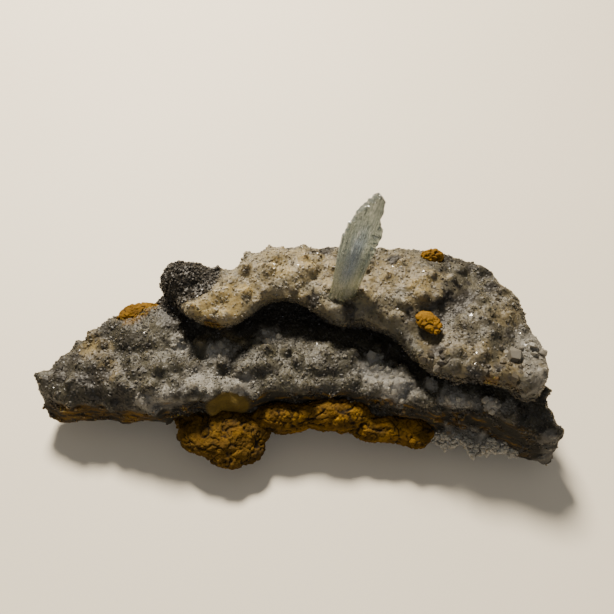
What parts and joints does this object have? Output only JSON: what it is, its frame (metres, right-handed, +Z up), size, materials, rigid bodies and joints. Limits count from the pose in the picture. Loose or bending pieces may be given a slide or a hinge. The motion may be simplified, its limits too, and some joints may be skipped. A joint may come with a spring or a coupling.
{
  "type": "blue barite crystal on quartz druse matrix",
  "caption": "Blue-grey bladed barite crystal standing on a ledged rock plate crusted with quartz druse and ochre limonite, lying flat on its broken underside as a display mineral specimen",
  "frame": {"origin": "centre of the bottom of the bounding box, at the plane of the table that the specimen lies on", "axes": "+Z up; +X along the length of the plate, to the right seen from the front; +Y to the back, so that the front edge with the ochre crust faces -Y"},
  "size_m": [0.0918, 0.0392, 0.0375],
  "materials": {
    "rock": "rough grey-brown rock crusted with small translucent quartz crystals",
    "barite": "translucent pale blue-grey crystal with a vitreous, striated surface",
    "limonite": "dull earthy ochre-brown iron oxide"
  },
  "bodies": {
    "root": {"matrix": "rock", "barite_crystal": "barite", "limonite_crust": "limonite", "limonite_grain_front": "limonite", "limonite_grain_back": "limonite", "limonite_grain_left": "limonite"}
  },
  "joints": []
}
